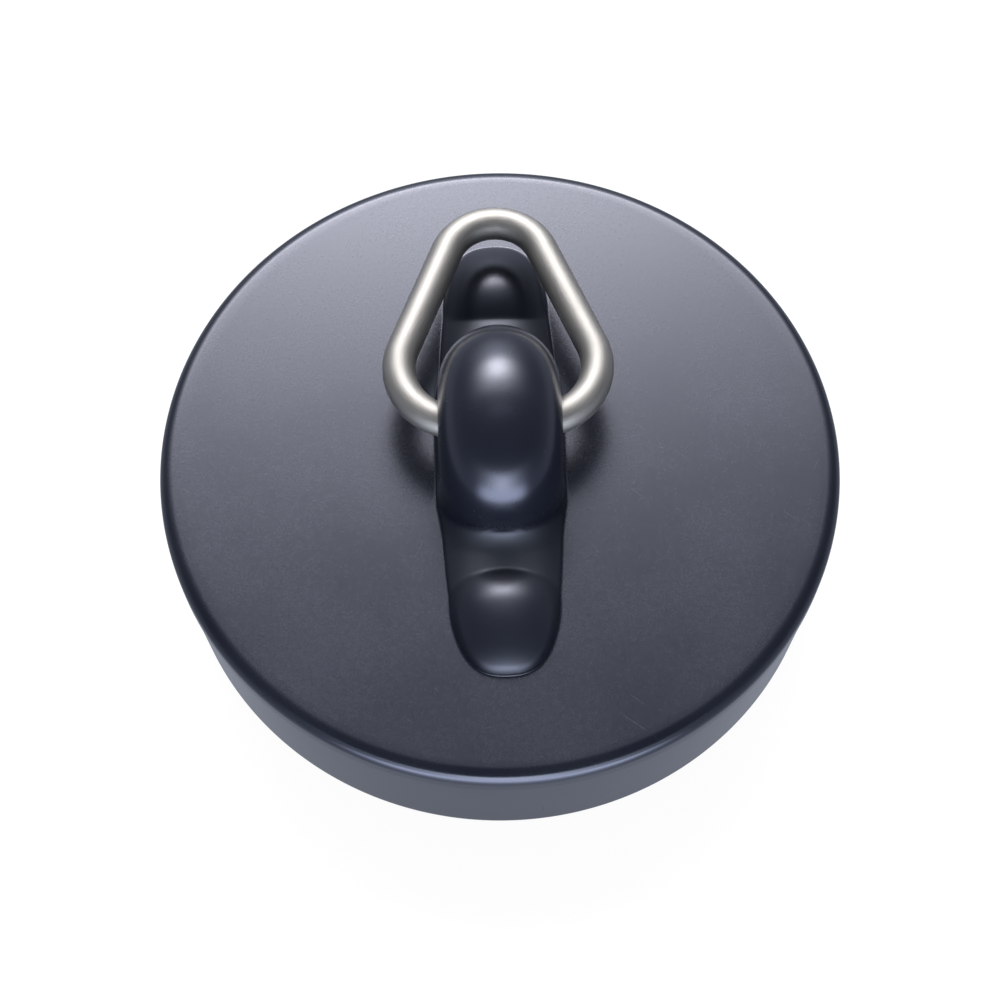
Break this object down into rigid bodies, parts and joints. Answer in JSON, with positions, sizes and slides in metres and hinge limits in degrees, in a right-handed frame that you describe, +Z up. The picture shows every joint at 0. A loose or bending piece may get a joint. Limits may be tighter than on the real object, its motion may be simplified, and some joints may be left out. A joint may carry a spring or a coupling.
{
  "type": "sink plug",
  "caption": "Round moulded sink plug with a humped lug on top and a swinging triangular wire pull ring for a chain.",
  "frame": {"origin": "centre of the bottom rim, in the plane of the rim", "axes": "+Z up out of the waste, X along the lug's cross bore, Y along the lug; the ring lies back along +Y"},
  "size_m": [0.05, 0.05, 0.0217],
  "materials": {
    "plug_rubber": "satin moulded, dark slate",
    "ring_steel": "satin drawn stainless wire"
  },
  "bodies": {
    "plug": {"plug_body": "plug_rubber"},
    "ring": {"pull_ring": "ring_steel"}
  },
  "joints": [
    {"name": "ring_swing", "type": "hinge", "parent": "plug", "child": "ring", "pos_m": [0, 0, 0.0161], "axis": [1, 0, 0], "range_deg": [-3, 183]}
  ]
}
